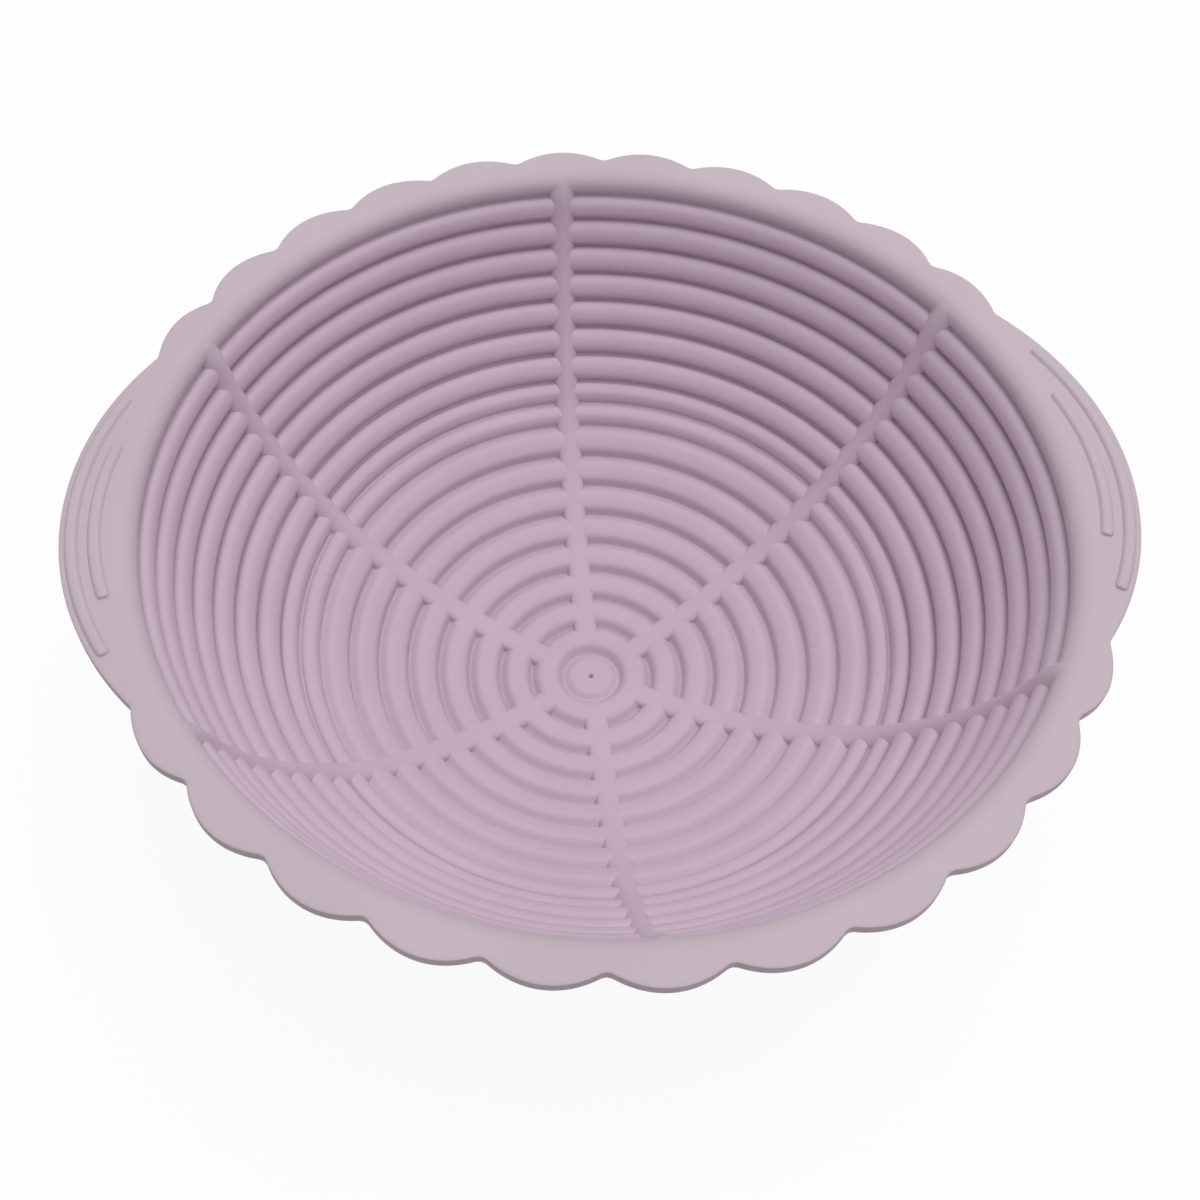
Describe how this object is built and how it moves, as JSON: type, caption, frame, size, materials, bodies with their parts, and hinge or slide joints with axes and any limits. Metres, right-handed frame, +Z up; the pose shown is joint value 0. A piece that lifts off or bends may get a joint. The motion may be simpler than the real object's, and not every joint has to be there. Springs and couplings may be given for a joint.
{
  "type": "silicone proofing basket",
  "caption": "Round flexible bread proofing basket with a coiled inside, radial stakes, a scalloped flat rim and two flush lobe handles.",
  "frame": {"origin": "middle of the foot ring's underside, on the table", "axes": "+Z up along the bowl's axis, handles along X, two of the stakes along Y"},
  "size_m": [0.2428, 0.2314, 0.087],
  "materials": {
    "silicone": "matte"
  },
  "bodies": {
    "basket_wall": {"bowl_wall_shell": "silicone", "wall_coil_1": "silicone", "wall_coil_2": "silicone", "wall_coil_3": "silicone", "wall_coil_4": "silicone", "wall_coil_5": "silicone", "wall_coil_6": "silicone", "wall_coil_7": "silicone", "wall_coil_8": "silicone", "wall_stake_1": "silicone", "wall_stake_2": "silicone", "wall_stake_3": "silicone", "wall_stake_4": "silicone", "wall_stake_5": "silicone", "wall_stake_6": "silicone", "rim_flange": "silicone"},
    "floor_ring_1": {"floor_coil_1": "silicone"},
    "floor_ring_2": {"floor_coil_2": "silicone"},
    "floor_ring_3": {"floor_coil_3": "silicone"},
    "floor_ring_4": {"floor_coil_4": "silicone"},
    "floor_ring_5": {"floor_coil_5": "silicone", "foot_ring": "silicone"},
    "floor_ring_6": {"floor_coil_6": "silicone"},
    "floor_ring_7": {"floor_coil_7": "silicone"},
    "floor_ring_8": {"floor_coil_8": "silicone"},
    "floor_ring_9": {"floor_coil_9": "silicone"},
    "floor_centre": {"centre_disc": "silicone"},
    "left_tab": {"left_handle": "silicone", "left_grip_outer": "silicone", "left_grip_inner": "silicone"},
    "right_tab": {"right_handle": "silicone", "right_grip_outer": "silicone", "right_grip_inner": "silicone"}
  },
  "joints": [
    {"name": "floor_push", "type": "slide", "parent": "basket_wall", "child": "floor_ring_5", "axis": [0, 0, 1], "range_m": [0, 0.013], "stiffness_N_per_m": 3000},
    {"name": "floor_rise_1", "type": "slide", "parent": "basket_wall", "child": "floor_ring_1", "axis": [0, 0, 1], "range_m": [0, 0.0234]},
    {"name": "floor_rise_2", "type": "slide", "parent": "basket_wall", "child": "floor_ring_2", "axis": [0, 0, 1], "range_m": [0, 0.0208]},
    {"name": "floor_rise_3", "type": "slide", "parent": "basket_wall", "child": "floor_ring_3", "axis": [0, 0, 1], "range_m": [0, 0.0182]},
    {"name": "floor_rise_4", "type": "slide", "parent": "basket_wall", "child": "floor_ring_4", "axis": [0, 0, 1], "range_m": [0, 0.0156]},
    {"name": "floor_rise_6", "type": "slide", "parent": "basket_wall", "child": "floor_ring_6", "axis": [0, 0, 1], "range_m": [0, 0.0104]},
    {"name": "floor_rise_7", "type": "slide", "parent": "basket_wall", "child": "floor_ring_7", "axis": [0, 0, 1], "range_m": [0, 0.0078]},
    {"name": "floor_rise_8", "type": "slide", "parent": "basket_wall", "child": "floor_ring_8", "axis": [0, 0, 1], "range_m": [0, 0.0052]},
    {"name": "floor_rise_9", "type": "slide", "parent": "basket_wall", "child": "floor_ring_9", "axis": [0, 0, 1], "range_m": [0, 0.0026]},
    {"name": "floor_rise_centre", "type": "slide", "parent": "basket_wall", "child": "floor_centre", "axis": [0, 0, 1], "range_m": [0, 0.026]},
    {"name": "left_handle_bend", "type": "hinge", "parent": "basket_wall", "child": "left_tab", "pos_m": [-0.111, 0, 0.08451], "axis": [0, 1, 0], "range_deg": [-60, 55], "stiffness_Nm_per_rad": 0.02},
    {"name": "right_handle_bend", "type": "hinge", "parent": "basket_wall", "child": "right_tab", "pos_m": [0.111, 0, 0.08451], "axis": [0, -1, 0], "range_deg": [-60, 55], "stiffness_Nm_per_rad": 0.02}
  ],
  "couplings": [
    {"joint": "floor_rise_1", "follows": "floor_push", "ratio": 1.8},
    {"joint": "floor_rise_2", "follows": "floor_push", "ratio": 1.6},
    {"joint": "floor_rise_3", "follows": "floor_push", "ratio": 1.4},
    {"joint": "floor_rise_4", "follows": "floor_push", "ratio": 1.2},
    {"joint": "floor_rise_6", "follows": "floor_push", "ratio": 0.8},
    {"joint": "floor_rise_7", "follows": "floor_push", "ratio": 0.6},
    {"joint": "floor_rise_8", "follows": "floor_push", "ratio": 0.4},
    {"joint": "floor_rise_9", "follows": "floor_push", "ratio": 0.2},
    {"joint": "floor_rise_centre", "follows": "floor_push", "ratio": 2}
  ]
}
